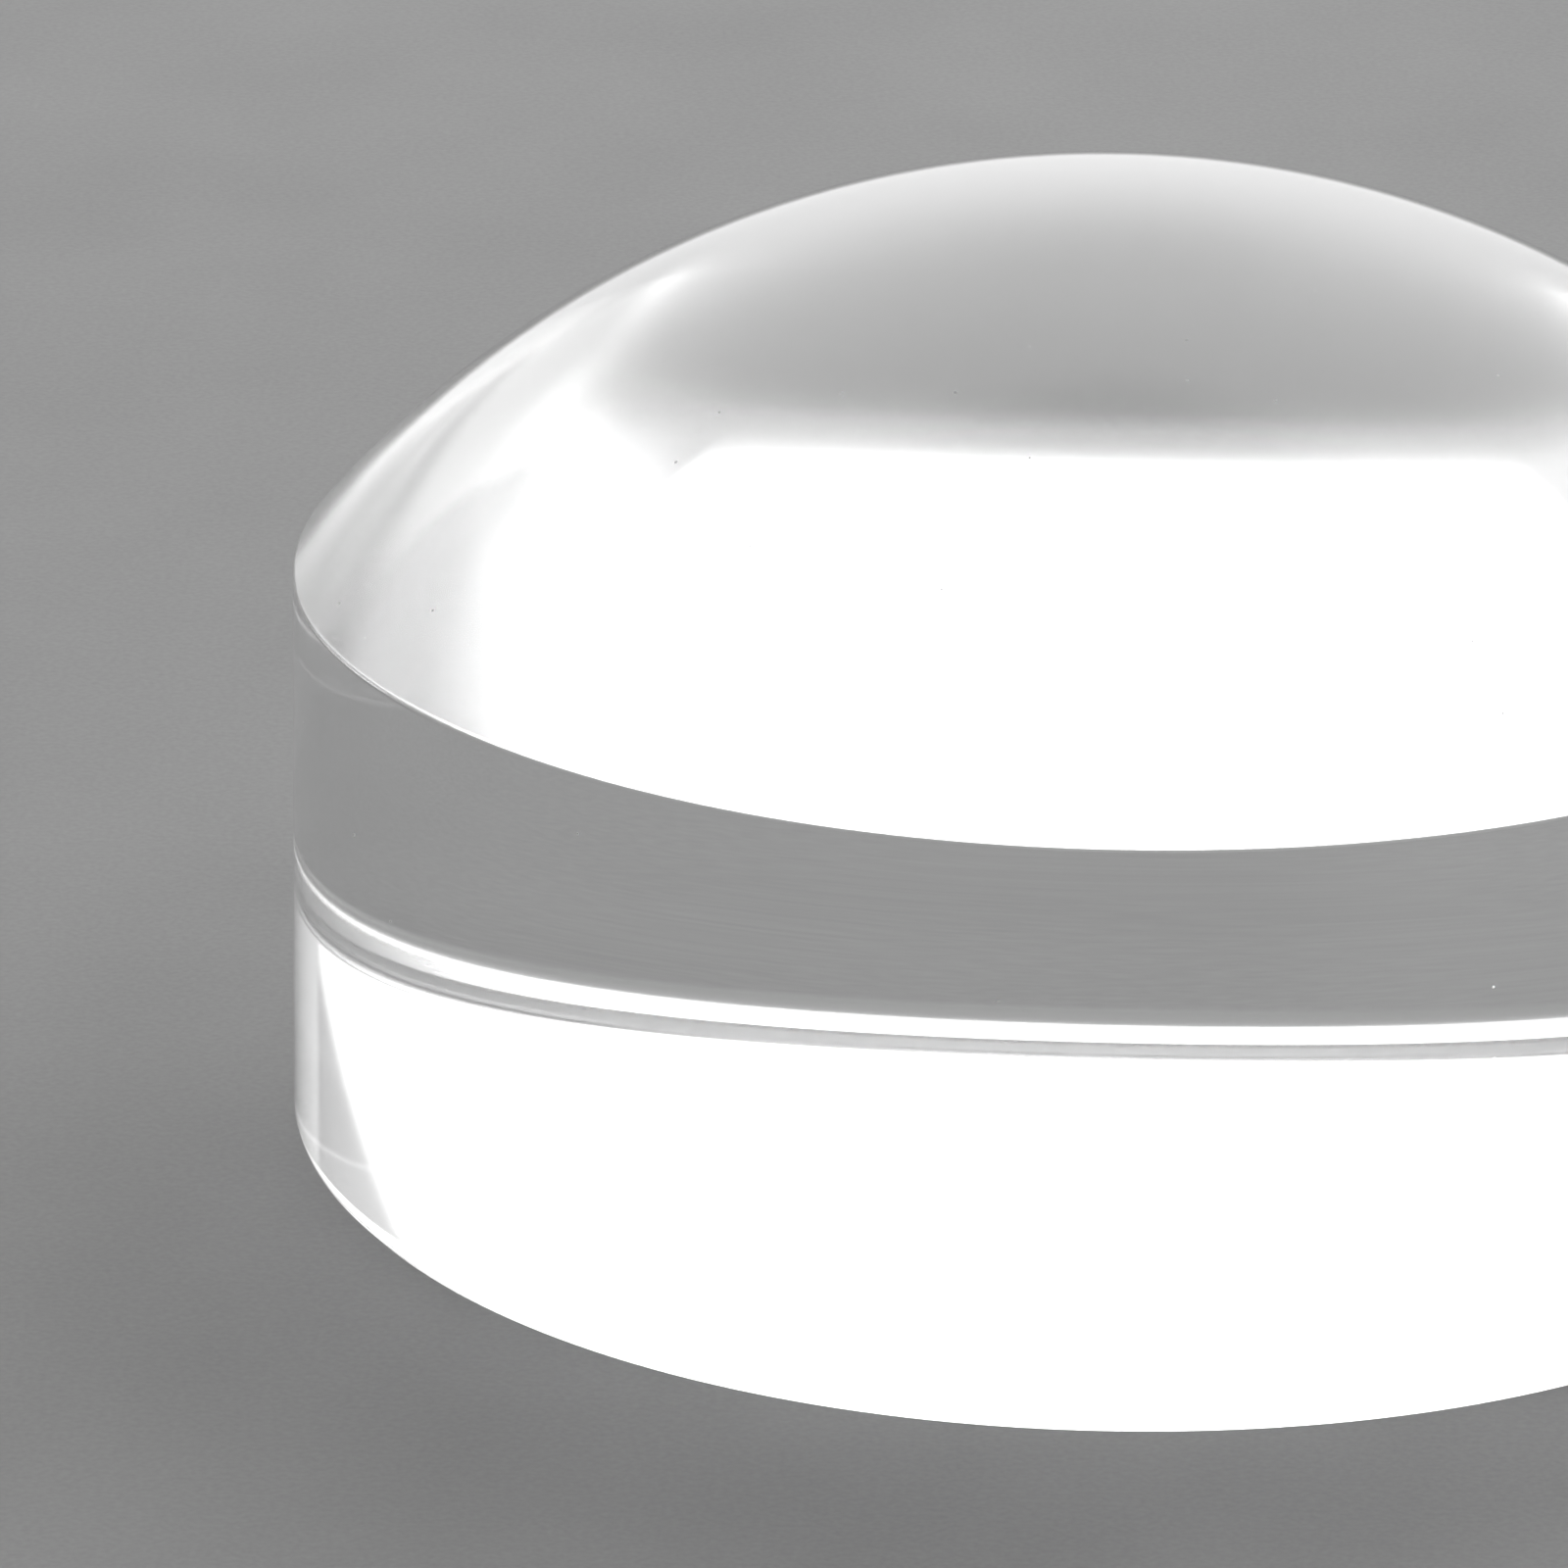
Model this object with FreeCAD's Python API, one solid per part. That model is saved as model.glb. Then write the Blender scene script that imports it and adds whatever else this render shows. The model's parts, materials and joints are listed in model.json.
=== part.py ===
import FreeCAD, Part
import math
import os

# A dome magnifier: one solid block of clear acrylic, turned and then polished all over. It stands
# on its flat base with its optical axis upright. From the base up it has a bevel at 45 degrees that
# runs into the wall over a round shoulder, a straight round wall, a rim that the polishing has
# rounded, and a spherical dome, which is the face that magnifies. Lengths are in millimetres, +Z
# points up the optical axis, and the origin is the middle of the base.

# Driving dimensions
lens_diameter = 65.0  # across the straight wall
wall_height = 23.6  # base to the sharp corner where the wall and the dome would meet
dome_rise = 15.4  # that corner's level to the top of the dome
base_bevel = 0.9  # each leg of the bevel round the base, up to where its line would meet the wall
shoulder_round = 1.2  # radius that the corner between bevel and wall is rounded to
rim_round = 0.45  # radius that the rim between wall and dome is rounded to

# The dome's sphere, which goes through the sharp corner and the top of the lens
lens_radius = lens_diameter / 2
lens_height = wall_height + dome_rise
dome_radius = (lens_radius ** 2 + dome_rise ** 2) / (2 * dome_rise)
dome_centre_height = lens_height - dome_radius

# The shoulder's arc, which touches the bevel on one side and the wall on the other
bevel_angle = math.radians(45)  # the bevel's legs are equal
shoulder_centre_radius = lens_radius - shoulder_round
shoulder_centre_height = base_bevel + shoulder_round * math.tan(bevel_angle / 2)

# The rim's arc, which touches the wall on one side and the dome from inside on the other
rim_centre_radius = lens_radius - rim_round
rim_over_dome_centre = math.sqrt((dome_radius - rim_round) ** 2 - rim_centre_radius ** 2)
rim_centre_height = dome_centre_height + rim_over_dome_centre
rim_end_angle = math.atan2(rim_over_dome_centre, rim_centre_radius)  # up from level, at the dome


def section_point(radius, height):
    """A point of the half section, by its distance from the axis and its height above the base."""
    return FreeCAD.Vector(radius, 0, height)


def section_arc(centre, radius, start_angle, end_angle):
    """An arc of the half section about a centre, between two angles up from level."""
    points = []
    for angle in (start_angle, (start_angle + end_angle) / 2, end_angle):
        points.append(centre + section_point(radius * math.cos(angle), radius * math.sin(angle)))
    return Part.Arc(*points)


def lens_half_section():
    """One half of the lens as a cut through its axis shows it, from the base up to the apex."""
    base_middle = section_point(0, 0)
    bevel_foot = section_point(lens_radius - base_bevel, 0)
    shoulder_centre = section_point(shoulder_centre_radius, shoulder_centre_height)
    shoulder = section_arc(shoulder_centre, shoulder_round, -bevel_angle, 0)
    wall_top = section_point(lens_radius, rim_centre_height)
    rim_centre = section_point(rim_centre_radius, rim_centre_height)
    dome_centre = section_point(0, dome_centre_height)
    apex = section_point(0, lens_height)
    outline = [
        Part.LineSegment(base_middle, bevel_foot),
        Part.LineSegment(bevel_foot, shoulder.StartPoint),
        shoulder,
        Part.LineSegment(shoulder.EndPoint, wall_top),
        section_arc(rim_centre, rim_round, 0, rim_end_angle),
        section_arc(dome_centre, dome_radius, rim_end_angle, math.pi / 2),
        Part.LineSegment(apex, base_middle),
    ]
    return Part.Face(Part.Wire([line.toShape() for line in outline]))


def dome_lens():
    """The whole magnifier, one solid: its half section turned once round the optical axis."""
    axis_foot = FreeCAD.Vector(0, 0, 0)
    upwards = FreeCAD.Vector(0, 0, 1)
    return lens_half_section().revolve(axis_foot, upwards, 360)


os.makedirs("parts", exist_ok=True)
lens = dome_lens()
lens.exportStep("parts/dome_lens.step")
print(f"dome_lens: {lens.Volume / 1000:.2f} cm3, {lens_height:.2f} mm high")
print(f"wall {shoulder_centre_height:.2f} to {rim_centre_height:.2f} mm up")
print(f"dome radius {dome_radius:.2f} mm")
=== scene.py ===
import json
import math

import bmesh
import bpy
from mathutils import Matrix, Vector


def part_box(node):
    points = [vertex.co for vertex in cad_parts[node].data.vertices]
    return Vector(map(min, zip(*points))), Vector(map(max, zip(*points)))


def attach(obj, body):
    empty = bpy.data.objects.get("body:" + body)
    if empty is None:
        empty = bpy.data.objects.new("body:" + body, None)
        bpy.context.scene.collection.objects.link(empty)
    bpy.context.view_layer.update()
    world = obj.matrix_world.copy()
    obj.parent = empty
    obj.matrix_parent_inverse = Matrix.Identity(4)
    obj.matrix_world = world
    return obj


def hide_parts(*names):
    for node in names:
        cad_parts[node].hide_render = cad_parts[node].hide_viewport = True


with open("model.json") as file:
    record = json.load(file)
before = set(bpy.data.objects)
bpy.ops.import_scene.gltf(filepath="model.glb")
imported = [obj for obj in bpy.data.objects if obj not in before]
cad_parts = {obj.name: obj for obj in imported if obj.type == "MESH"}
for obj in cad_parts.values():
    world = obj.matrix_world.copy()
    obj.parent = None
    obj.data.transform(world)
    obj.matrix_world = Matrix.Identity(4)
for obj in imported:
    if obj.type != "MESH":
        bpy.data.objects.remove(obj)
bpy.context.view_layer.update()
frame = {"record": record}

mm = 0.001  # the frame is in metres


# Shader maths: a Wire is one output socket, and sums on it become Math nodes
class Wire:
    def __init__(self, sheet, socket):
        self.sheet = sheet
        self.socket = socket

    def also(self, name):  # another output of the same node
        return Wire(self.sheet, self.socket.node.outputs[name])

    def __add__(self, other):
        return self.sheet.math("ADD", self, other)

    def __sub__(self, other):
        return self.sheet.math("SUBTRACT", self, other)

    def __rsub__(self, other):
        return self.sheet.math("SUBTRACT", other, self)

    def __mul__(self, other):
        return self.sheet.math("MULTIPLY", self, other)

    def __truediv__(self, other):
        return self.sheet.math("DIVIDE", self, other)

    __radd__ = __add__
    __rmul__ = __mul__


# The nodes of a material or world, emptied first. The method called node makes every one of them.
class NodeSheet:
    def __init__(self, owner):
        owner.use_nodes = True
        self.tree = owner.node_tree
        self.tree.nodes.clear()

    def node(self, kind, settings=None, inputs=None, output=0):
        made = self.tree.nodes.new(kind)
        for name, value in (settings or {}).items():
            setattr(made, name, value)
        for name, value in (inputs or {}).items():
            if isinstance(value, Wire):
                self.tree.links.new(value.socket, made.inputs[name])
            else:
                made.inputs[name].default_value = value
        return Wire(self, made.outputs[output]) if made.outputs else made

    def math(self, operation, first, second=0.0):
        return self.node("ShaderNodeMath", {"operation": operation}, {0: first, 1: second})

    # 0 where the value is at low, 1 at high, with a soft step between; low may be above high
    def softStep(self, value, low, high):
        inputs = {"Value": value, "From Min": low, "From Max": high}
        return self.node("ShaderNodeMapRange", {"interpolation_type": "SMOOTHSTEP"}, inputs)

    def between(self, first, second, share):  # numbers, mixed by a share of the second
        return first + (second - first) * share

    def axes(self, vector):
        split = self.node("ShaderNodeSeparateXYZ", None, {"Vector": vector})
        return split.also("X"), split.also("Y"), split.also("Z")

    # Noise with its own count of features, along each axis, for each metre of the vector
    def noise(self, vector, perMetre=(1, 1, 1), detail=2.0):
        mapped = self.node("ShaderNodeMapping", None, {"Vector": vector, "Scale": perMetre})
        settings = {"noise_dimensions": "3D", "normalize": True}
        return self.node("ShaderNodeTexNoise", settings, {"Vector": mapped, "Scale": 1.0, "Detail": detail})


def addPiece(mesh, name):
    piece = bpy.data.objects.new(name, bpy.data.meshes.new(name))
    mesh.to_mesh(piece.data)
    mesh.free()
    bpy.context.collection.objects.link(piece)
    return piece


# The lens: one turned and polished block of clear acrylic
lensSpec = {
    "rimRound": 0.45 * mm,  # the rim between wall and dome
    "shoulderRound": 1.2 * mm,  # the corner between base bevel and wall
    "bevelAngle": math.radians(45),
    "cornerRound": 0.3 * mm,  # the corner between bevel and base, which use has rounded a little
    "turns": 224,  # faces round the axis
    "domeRings": 64,
    "rimRings": 10,
    "wallRings": 8,
    "shoulderRings": 10,
    "bevelRings": 2,
    "cornerRings": 10,
    "baseRings": 3,
    "holdingRing": 0.02 * mm,  # a ring this close to each join keeps its shading from spreading
    "mergeWithin": 0.0001 * mm,  # closer points, such as those on the axis, become one
}


def arcTo(mesh, tip, centre, angle, steps):
    arc = bmesh.ops.spin(mesh, geom=[tip], cent=centre, axis=(0, 1, 0), angle=angle, steps=steps)
    return [item for item in arc["geom_last"] if isinstance(item, bmesh.types.BMVert)][0]


def lineTo(mesh, tip, target, steps):
    stride = (target - tip.co) / steps
    for _ in range(steps):
        tip = bmesh.ops.extrude_vert_indiv(mesh, verts=[tip])["verts"][0]
        bmesh.ops.translate(mesh, verts=[tip], vec=stride)
    return tip


def makeLens():
    spec = lensSpec
    low, high = (Vector(corner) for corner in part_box("dome_lens"))
    lensRadius = (high.x - low.x) / 2
    lensHeight = high.z - low.z
    wallMount = [mount for mount in frame["record"]["mounts"] if mount["name"] == "wall"][0]
    halfWall = wallMount["dims"]["length_mm"] * mm / 2
    wallFoot = wallMount["pos_m"][2] - halfWall
    wallTop = wallMount["pos_m"][2] + halfWall

    # The dome's sphere touches the rim's arc from outside and goes through the top of the lens
    rimCentre = Vector((lensRadius - spec["rimRound"], 0, wallTop))
    rise = lensHeight - wallTop
    domeRadius = (rimCentre.x ** 2 + rise ** 2 - spec["rimRound"] ** 2) / (2 * (rise - spec["rimRound"]))
    domeCentre = Vector((0, 0, lensHeight - domeRadius))
    rimAngle = math.atan2(rimCentre.z - domeCentre.z, rimCentre.x)  # up from level, at the dome
    shoulderCentre = Vector((lensRadius - spec["shoulderRound"], 0, wallFoot))
    bevelWidth = wallFoot - spec["shoulderRound"] * math.tan(spec["bevelAngle"] / 2)
    alongBevel = Vector((math.cos(spec["bevelAngle"]), 0, math.sin(spec["bevelAngle"])))
    cornerReach = spec["cornerRound"] * math.tan(spec["bevelAngle"] / 2)
    cornerCentre = Vector((lensRadius - bevelWidth - cornerReach, 0, spec["cornerRound"]))
    bevelEnd = Vector((lensRadius - bevelWidth, 0, 0)) + alongBevel * cornerReach

    # Half of the section, drawn from the top of the dome down to the middle of the base
    mesh = bmesh.new()
    hold = spec["holdingRing"]
    tip = bmesh.ops.create_vert(mesh, co=(0, 0, lensHeight))["vert"][0]
    domeAngle = math.pi / 2 - rimAngle
    tip = arcTo(mesh, tip, domeCentre, domeAngle - hold / domeRadius, spec["domeRings"])
    tip = arcTo(mesh, tip, domeCentre, hold / domeRadius, 1)
    tip = arcTo(mesh, tip, rimCentre, rimAngle, spec["rimRings"])
    tip = lineTo(mesh, tip, tip.co - Vector((0, 0, hold)), 1)
    tip = lineTo(mesh, tip, Vector((lensRadius, 0, wallFoot + hold)), spec["wallRings"])
    tip = lineTo(mesh, tip, Vector((lensRadius, 0, wallFoot)), 1)
    tip = arcTo(mesh, tip, shoulderCentre, spec["bevelAngle"], spec["shoulderRings"])
    tip = lineTo(mesh, tip, tip.co - alongBevel * hold, 1)
    tip = lineTo(mesh, tip, bevelEnd, spec["bevelRings"])
    tip = arcTo(mesh, tip, cornerCentre, spec["bevelAngle"], spec["cornerRings"])
    tip = lineTo(mesh, tip, tip.co - Vector((hold, 0, 0)), 1)
    lineTo(mesh, tip, Vector((0, 0, 0)), spec["baseRings"])

    section = mesh.verts[:] + mesh.edges[:]
    bmesh.ops.spin(mesh, geom=section, cent=(0, 0, 0), axis=(0, 0, 1), angle=2 * math.pi,
                   steps=spec["turns"], use_merge=True)
    bmesh.ops.remove_doubles(mesh, verts=mesh.verts, dist=spec["mergeWithin"])
    bmesh.ops.recalc_face_normals(mesh, faces=mesh.faces)
    for face in mesh.faces:
        face.smooth = True
    print(f"lens: dome radius {domeRadius / mm:.2f} mm, bevel {bevelWidth / mm:.2f} mm,",
          f"{len(mesh.faces)} faces")
    return addPiece(mesh, "magnifierLens")


# Clear acrylic, with what polishing and handling leave on it
acrylicSpec = {
    "colour": (0.996, 0.998, 0.998, 1.0),
    "refraction": 1.49,
    "polished": 0.02,  # roughness of the base and wall
    "domePolished": 0.085,  # the dome was polished by hand and is a little softer
    "domeFrom": (23.3 * mm, 23.7 * mm),  # heights between which the wall's polish becomes the dome's
    "domeRim": 0.19,  # the dome is softer still towards its rim
    "domeRimFrom": (26.5 * mm, 31.0 * mm),  # distances from the axis
    "satin": 0.22,  # roughness of the shoulder, which was turned but not polished
    "satinTop": (1.6 * mm, 1.1 * mm),
    "bevel": 0.26,  # the bevel below it is a little rougher
    "bevelTop": (0.75 * mm, 0.45 * mm),
    "bevelInside": (31.2 * mm, 31.5 * mm),
    "turningLines": 0.0012 * mm,  # height of the fine lines that turning left round them
    "lineStretch": 60.0,
    "linesPerMetre": 9000.0,
    "dustCells": 1 / (1.5 * mm),  # one place for a speck of dust in each cell this wide
    "dustSize": (0.055, 0.03),  # from the edge of a speck to its full strength, in cells
    "dustShare": (0.60, 0.64),  # a cell has a speck where its chance is above this
    "dustRoughness": 0.6,  # a speck scatters the light
}


def acrylicMaterial():
    spec = acrylicSpec
    material = bpy.data.materials.new("clearAcrylic")
    sheet = NodeSheet(material)
    place = sheet.node("ShaderNodeTexCoord", output="Object")
    x, y, z = sheet.axes(place)
    radius = sheet.math("SQRT", x * x + y * y)

    # The base and wall are polished, and the dome a little less so
    nearRim = sheet.softStep(radius, *spec["domeRimFrom"])
    dome = sheet.between(spec["domePolished"], spec["domeRim"], nearRim)
    polished = sheet.between(spec["polished"], dome, sheet.softStep(z, *spec["domeFrom"]))

    # The bevel and its shoulder are satin, with fine turning lines
    satin = sheet.between(spec["satin"], spec["bevel"], sheet.softStep(z, *spec["bevelTop"]))
    unpolished = sheet.softStep(z, *spec["satinTop"]) * sheet.softStep(radius, *spec["bevelInside"])
    roughness = sheet.between(polished, satin, unpolished)
    aroundLens = {"X": x / radius * spec["lineStretch"], "Y": y / radius * spec["lineStretch"],
                  "Z": (z + radius) * spec["linesPerMetre"]}
    lines = sheet.noise(sheet.node("ShaderNodeCombineXYZ", None, aroundLens), detail=1)
    height = lines * unpolished * spec["turningLines"]
    turned = sheet.node("ShaderNodeBump", None, {"Strength": 1.0, "Distance": 1.0, "Height": height})

    # A few specks of dust lie on all of it
    cells = sheet.node("ShaderNodeTexVoronoi", None, {"Vector": place, "Scale": spec["dustCells"]})
    chance = sheet.node("ShaderNodeSeparateColor", None, {"Color": cells.also("Color")})
    specks = sheet.softStep(cells, *spec["dustSize"]) * sheet.softStep(chance, *spec["dustShare"])

    acrylic = sheet.node("ShaderNodeBsdfPrincipled", None, {
        "Base Color": spec["colour"],
        "Roughness": roughness + specks * spec["dustRoughness"],
        "IOR": spec["refraction"],
        "Transmission Weight": 1.0,
        "Normal": turned,
    })
    sheet.node("ShaderNodeOutputMaterial", None, {"Surface": acrylic})
    return material


floorSpec = {
    "radius": 0.34,
    "sides": 96,
    "drop": 0.05 * mm,  # the film of air under the polished base
    "colour": 0.33,
    "farColour": 0.95,  # painted light: it pales with distance, standing in for a second light on the far floor
    "farFrom": (0.20, 0.33),
    "clouds": 0.20,  # depth of the soft clouds in its tone
    "cloudsPerMetre": (70, 45, 70),
    "grain": 0.2,  # and of its fine grain
    "grainPerMetre": (3500, 3500, 3500),
    "roughness": 0.7,
    "specular": 0.2,
}


def makeFloor():
    spec = floorSpec
    mesh = bmesh.new()
    bmesh.ops.create_circle(mesh, cap_ends=True, segments=spec["sides"], radius=spec["radius"])
    bmesh.ops.translate(mesh, verts=mesh.verts, vec=(0, 0, -spec["drop"]))
    floor = addPiece(mesh, "floor")

    material = bpy.data.materials.new("floorPaint")
    sheet = NodeSheet(material)
    place = sheet.node("ShaderNodeTexCoord", output="Object")
    grain = sheet.noise(place, spec["grainPerMetre"], detail=1)
    clouds = sheet.noise(place, spec["cloudsPerMetre"])
    distance = sheet.node("ShaderNodeVectorMath", {"operation": "LENGTH"}, {0: place}, output="Value")
    # Painted light: the floor pales from its middle towards its edge, in place of a second light on the far
    # floor
    shade = sheet.between(spec["colour"], spec["farColour"], sheet.softStep(distance, *spec["farFrom"]))
    # Noise lies round a half, so it is lowered by that to leave the mean tone as it is
    shade = shade * (1 + (grain - 0.5) * spec["grain"] + (clouds - 0.5) * spec["clouds"])
    white = (1.0, 1.0, 1.0)
    colour = sheet.node("ShaderNodeVectorMath", {"operation": "SCALE"}, {0: white, "Scale": shade})
    paint = sheet.node("ShaderNodeBsdfPrincipled", None, {
        "Base Color": colour,
        "Roughness": spec["roughness"],
        "Specular IOR Level": spec["specular"],
    })
    sheet.node("ShaderNodeOutputMaterial", None, {"Surface": paint})
    floor.data.materials.append(material)
    return floor


# What the lens shows round it: a large white panel behind, a second one to its right, a dimmer wall
# to its left and a low reflector at the front. Bearings go clockwise from straight behind the lens
# and heights up from level, both in degrees. In a pair, the second one is where the step ends.
studioSpec = {
    "panelLeft": -44.0,
    "panelLeftMiddle": -37.0,
    "panelNarrows": (10.0, 20.0),
    "panelLeftHigh": -75.0,  # the panel is wider above
    "panelWidens": (26.0, 42.0),
    "panelRight": 57.0,
    "panelLean": 14.5,  # degrees that its right edge moves for each degree of height, near one height
    "panelLeanHeight": 21.56,
    "panelLeanReach": 0.85,
    "panelWidensRight": (24.0, 27.0),
    "panelRightHigh": 28.0,
    "edgeSoft": 1.5,
    "gapRight": 70.0,  # a dimmer gap between the panel and the second one
    "secondPanel": 1.3,
    "secondRight": (157.0, 151.0),
    "panelTop": (72.0, 56.0),
    "panelFoot": (-12.0, 22.0),
    "panel": 2.3,
    "panelFootLevel": 0.58,  # share of the panel's level near the floor
    "reflectorLeft": (-165.0, -175.0),
    "reflectorTop": (19.0, 6.0),
    "reflector": 1.5,
    "lowGlow": 0.8,  # the second panel and the reflector are brighter near the floor
    "lowGlowTop": (5.0, 2.0),
    "wall": 0.98,
    "wallTop": (24.5, 16.5),
    "wallHigh": 0.35,
    "gap": 0.82,
    "ceiling": 0.12,
    "onFloor": 0.61,  # brings what the studio gives the floor to a plain level
}


def makeStudio():
    spec = studioSpec
    world = bpy.data.worlds.new("studio")
    world.cycles.sampling_method = "NONE"  # it is soft and all round, so rays find it by themselves
    bpy.context.scene.world = world
    sheet = NodeSheet(world)
    outward = sheet.node("ShaderNodeTexCoord", output="Generated")
    x, y, z = sheet.axes(outward)
    degrees = 180 / math.pi
    bearing = sheet.math("ARCTAN2", x, y) * degrees
    height = sheet.math("ARCSINE", z) * degrees

    def rightOf(edge):  # 1 where the bearing is past an edge, clockwise
        return sheet.softStep(bearing - edge, -spec["edgeSoft"], spec["edgeSoft"])

    # The white panel, dimmer towards its foot
    panelFoot = sheet.between(spec["panelFootLevel"], 1.0, sheet.softStep(height, *spec["panelFoot"]))
    narrows = sheet.softStep(height, *spec["panelNarrows"])
    widens = sheet.softStep(height, *spec["panelWidens"])
    leftEdge = sheet.between(spec["panelLeft"], spec["panelLeftMiddle"], narrows)
    leftEdge = sheet.between(leftEdge, spec["panelLeftHigh"], widens)
    reach = spec["panelLeanReach"]
    lean = sheet.math("MINIMUM", sheet.math("MAXIMUM", height - spec["panelLeanHeight"], -reach), reach)
    rightEdge = (spec["panelRight"] - lean * spec["panelLean"]
                 + sheet.softStep(height, *spec["panelWidensRight"]) * spec["panelRightHigh"])
    belowTop = sheet.softStep(height, *spec["panelTop"])
    onPanel = rightOf(leftEdge) * (1 - rightOf(rightEdge)) * belowTop
    onGap = rightOf(rightEdge) * (1 - rightOf(spec["gapRight"])) * belowTop
    onSecond = rightOf(spec["gapRight"]) * sheet.softStep(bearing, *spec["secondRight"]) * belowTop

    # The low reflector lies across the half turn, where bearings change sign
    behind = sheet.math("MAXIMUM", sheet.softStep(bearing, *spec["reflectorLeft"]),
                        sheet.softStep(bearing, *reversed(spec["secondRight"])))
    onReflector = behind * sheet.softStep(height, *spec["reflectorTop"])
    lowGlow = sheet.softStep(height, *spec["lowGlowTop"]) * spec["lowGlow"]
    onWall = (1 - rightOf(leftEdge)) * (1 - behind) * belowTop
    wallLevel = sheet.between(spec["wallHigh"], spec["wall"], sheet.softStep(height, *spec["wallTop"]))
    ceiling = spec["ceiling"]
    seenLevel = (onPanel * panelFoot * (spec["panel"] - ceiling) + onGap * (spec["gap"] - ceiling)
                 + onSecond * (lowGlow + spec["secondPanel"] - ceiling)
                 + onReflector * (lowGlow + spec["reflector"] - ceiling)
                 + onWall * (wallLevel - ceiling) + ceiling)

    # The camera sees white at most, and only what the lens shows is brighter
    cameraRay = sheet.node("ShaderNodeLightPath", output="Is Camera Ray")
    diffuseRay = cameraRay.also("Is Diffuse Ray")
    level = sheet.between(seenLevel, sheet.math("MINIMUM", seenLevel, 1.0), cameraRay)
    level = level * sheet.between(1.0, spec["onFloor"], diffuseRay)
    backdrop = sheet.node("ShaderNodeBackground", None, {"Color": (1, 1, 1, 1), "Strength": level})
    sheet.node("ShaderNodeOutputWorld", None, {"Surface": backdrop})


# The lamp lights the floor, also as the lens shows it, and casts the soft shadow
lampSpec = {
    "power": 0.95,
    "size": 0.5,
    "bounces": 2,
    "place": (0.30, 0.45, 0.35),
}


def makeLamp():
    spec = lampSpec
    light = bpy.data.lights.new("softLamp", "AREA")
    light.shape = "DISK"
    light.size = spec["size"]
    light.energy = spec["power"]
    light.cycles.max_bounces = spec["bounces"]
    lamp = bpy.data.objects.new("softLamp", light)
    bpy.context.collection.objects.link(lamp)
    lamp.location = spec["place"]
    lamp.rotation_euler = (-Vector(spec["place"])).to_track_quat("-Z", "Y").to_euler()
    lamp.visible_camera = False
    lamp.visible_glossy = False
    lamp.visible_transmission = False


# The camera looks along +Y and down at the middle of the base, then turns a little off it
cameraSpec = {
    "lens": 248.6,  # mm, on the sensor below
    "sensorWidth": 36.0,
    "clip": (0.01, 20.0),
    "distance": 0.4369,
    "elevation": 21.52,
    "pan": 1.72,
    "tilt": 1.75,
    "roll": -1.447,
}


def makeCamera():
    spec = cameraSpec
    data = bpy.data.cameras.new("camera")
    data.lens = spec["lens"]
    data.sensor_width = spec["sensorWidth"]
    data.clip_start, data.clip_end = spec["clip"]
    camera = bpy.data.objects.new("camera", data)
    bpy.context.collection.objects.link(camera)
    aim = Matrix.Rotation(math.radians(90 - spec["elevation"]), 4, "X")
    away = aim @ Vector((0, 0, spec["distance"]))
    turn = (Matrix.Rotation(math.radians(spec["pan"]), 4, "Y")
            @ Matrix.Rotation(math.radians(spec["tilt"]), 4, "X")
            @ Matrix.Rotation(math.radians(-spec["roll"]), 4, "Z"))
    camera.matrix_world = Matrix.Translation(away) @ aim @ turn
    bpy.context.scene.camera = camera


bounceSpec = {
    "inside": 16,  # every total reflection inside the block counts as one
    "diffuse": 2,
}


def setBounces():
    cycles = bpy.context.scene.cycles
    cycles.max_bounces = bounceSpec["inside"]
    cycles.glossy_bounces = bounceSpec["inside"]
    cycles.transmission_bounces = bounceSpec["inside"]
    cycles.diffuse_bounces = bounceSpec["diffuse"]


bpy.context.scene.view_settings.view_transform = "Standard"
setBounces()
makeCamera()
makeStudio()
makeLamp()
print("studio: camera, panels and lamp")
floor = makeFloor()
print("floor: laid under the lens")
lens = makeLens()
lens.data.materials.append(acrylicMaterial())
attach(lens, "root")
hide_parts("dome_lens")
print("lens: dressed in clear acrylic")
